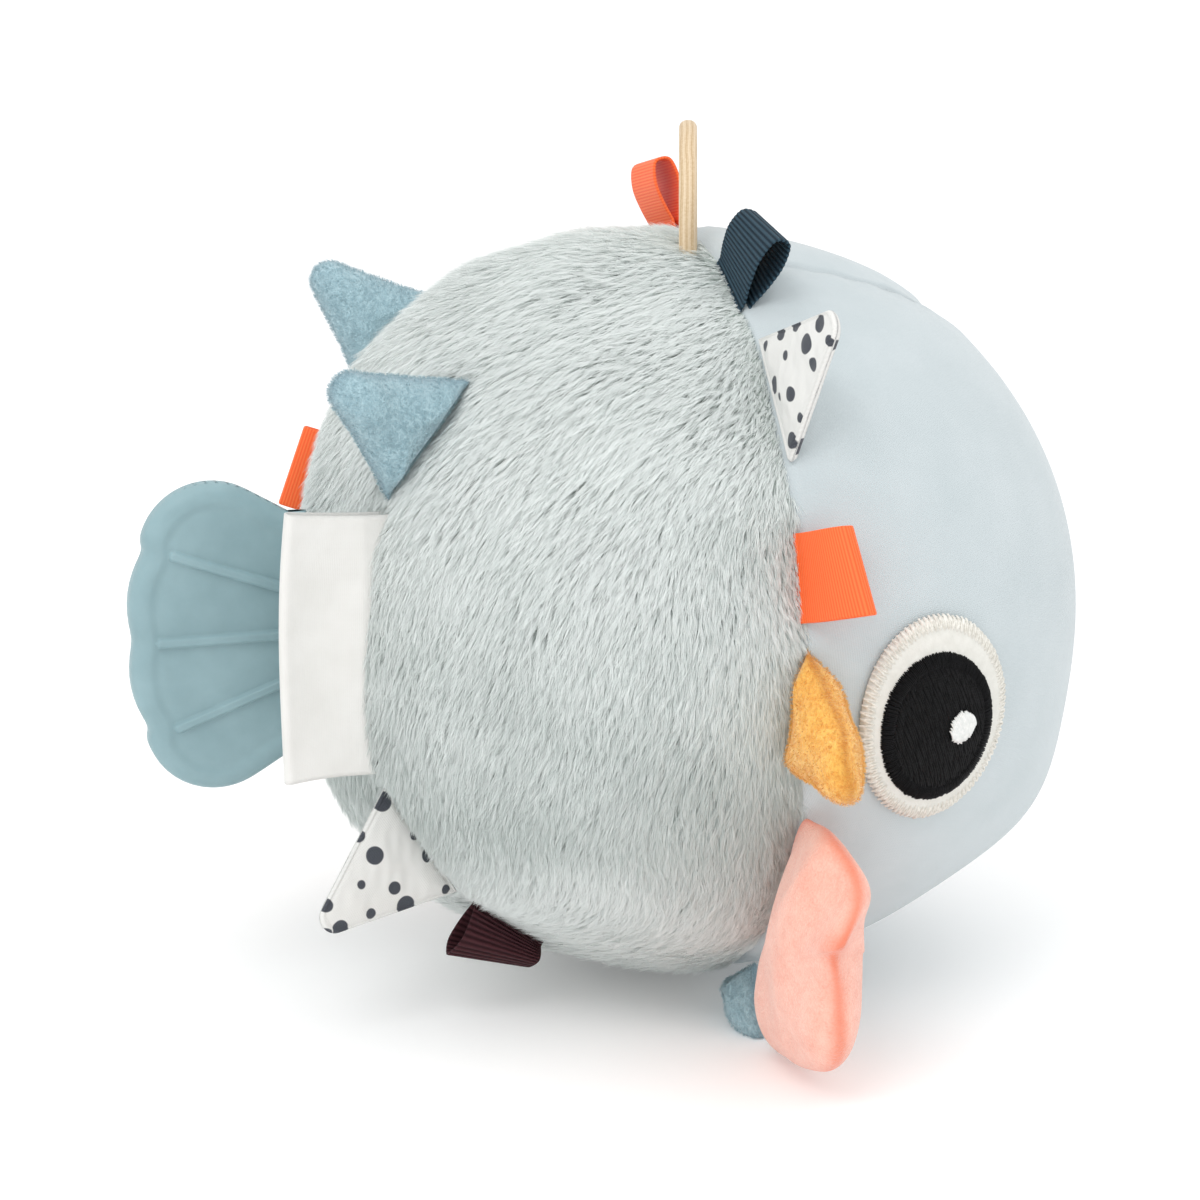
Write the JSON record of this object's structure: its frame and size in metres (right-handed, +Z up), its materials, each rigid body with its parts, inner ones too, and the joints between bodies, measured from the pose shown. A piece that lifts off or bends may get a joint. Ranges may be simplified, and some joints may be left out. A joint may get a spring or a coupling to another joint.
{
  "type": "stuffed activity ball",
  "caption": "Stuffed fish-shaped baby ball with plush spikes and fins, ribbon loops, crinkle flaps, a wooden ring, a silicone tail teether and a rattle inside.",
  "frame": {"origin": "under the middle of the whole toy, on the surface it stands on", "axes": "+X from the tail to the face, +Y to the left side of the fish, +Z up"},
  "size_m": [0.1712, 0.183, 0.1561],
  "materials": {
    "smooth_fabric": "smooth brushed knit, matt",
    "plush": "short-pile plush, sage grey",
    "blue_plush": "short velour plush, dusty blue",
    "mustard_plush": "short velour plush, mustard",
    "coral_plush": "short velour plush, coral",
    "dotted_cotton": "woven cotton with charcoal dots",
    "crinkle_film": "thin crackling film",
    "orange_ribbon": "smooth ribbon with fine cross ribs",
    "navy_ribbon": "grosgrain ribbon",
    "maroon_ribbon": "grosgrain ribbon",
    "label_cloth": "woven satin label, blank",
    "eye_cream": "cream felt and satin stitch",
    "pupil_black": "black satin-stitch embroidery",
    "wood": "sanded, untreated pale wood",
    "silicone": "matt moulded silicone",
    "fibre": "loose polyester fibre",
    "rattle_plastic": "moulded, hidden inside",
    "rattle_bead": "moulded, hidden inside"
  },
  "bodies": {
    "ball": {"right_cheek_cover": "smooth_fabric", "left_cheek_cover": "smooth_fabric", "forehead_gusset": "smooth_fabric", "chin_gusset": "smooth_fabric", "right_back_cover": "plush", "left_back_cover": "plush", "rear_gusset": "plush", "front_filling": "fibre", "rear_filling": "fibre", "rattle_shell_right": "rattle_plastic", "rattle_shell_left": "rattle_plastic", "right_eye_patch": "eye_cream", "left_eye_patch": "eye_cream", "right_pupil": "pupil_black", "left_pupil": "pupil_black", "right_eye_glint": "eye_cream", "left_eye_glint": "eye_cream", "tail_tab": "silicone", "top_orange_ribbon": "orange_ribbon", "right_orange_ribbon": "orange_ribbon", "rear_orange_ribbon": "orange_ribbon", "right_navy_ribbon": "navy_ribbon", "left_navy_ribbon": "navy_ribbon", "left_maroon_ribbon": "maroon_ribbon", "rear_maroon_ribbon": "maroon_ribbon", "right_back_spike": "blue_plush", "left_back_spike": "blue_plush", "right_belly_spike": "blue_plush", "left_belly_spike": "blue_plush", "right_mustard_spike": "mustard_plush", "left_mustard_spike": "mustard_plush", "side_label": "label_cloth"},
    "ring": {"wooden_ring": "wood"},
    "tail": {"tail_teether": "silicone"},
    "right_fin_body": {"right_fin": "coral_plush"},
    "left_fin_body": {"left_fin": "coral_plush"},
    "right_flap": {"right_dotted_flap": "dotted_cotton", "right_flap_film": "crinkle_film"},
    "left_flap": {"left_dotted_flap": "dotted_cotton", "left_flap_film": "crinkle_film"},
    "rear_flap": {"rear_dotted_flap": "dotted_cotton", "rear_flap_film": "crinkle_film"},
    "rattle_bead": {"rattle_ball": "rattle_bead"}
  },
  "joints": [
    {"name": "ring_turn", "type": "hinge", "parent": "ball", "child": "ring", "pos_m": [0.01674, 0, 0.1369], "axis": [0.9563, -0.2924, 0], "continuous": true},
    {"name": "tail_bend", "type": "hinge", "parent": "ball", "child": "tail", "pos_m": [-0.05681, 0, 0.0684], "axis": [0, 0, 1], "range_deg": [-20, 20], "stiffness_Nm_per_rad": 0.08},
    {"name": "right_fin_flap", "type": "hinge", "parent": "ball", "child": "right_fin_body", "pos_m": [0.01674, -0.05667, 0.03019], "axis": [0, 0.5592, -0.829], "range_deg": [-25, 25], "stiffness_Nm_per_rad": 0.04},
    {"name": "left_fin_flap", "type": "hinge", "parent": "ball", "child": "left_fin_body", "pos_m": [0.01674, 0.05667, 0.03019], "axis": [0, 0.5592, 0.829], "range_deg": [-25, 25], "stiffness_Nm_per_rad": 0.04},
    {"name": "right_flap_fold", "type": "hinge", "parent": "ball", "child": "right_flap", "pos_m": [0.01698, -0.05124, 0.11569], "axis": [0, -0.6782, -0.7349], "range_deg": [-35, 35], "stiffness_Nm_per_rad": 0.006},
    {"name": "left_flap_fold", "type": "hinge", "parent": "ball", "child": "left_flap", "pos_m": [0.01698, 0.06593, 0.09111], "axis": [0, -0.3256, 0.9455], "range_deg": [-35, 35], "stiffness_Nm_per_rad": 0.006},
    {"name": "rear_flap_fold", "type": "hinge", "parent": "ball", "child": "rear_flap", "pos_m": [-0.03972, -0.02192, 0.03381], "axis": [-0.5225, 0, 0.8526], "range_deg": [-35, 35], "stiffness_Nm_per_rad": 0.006},
    {"name": "rattle_slide", "type": "slide", "parent": "ball", "child": "rattle_bead", "axis": [0, 1, 0], "range_m": [-0.009, 0.009]}
  ]
}
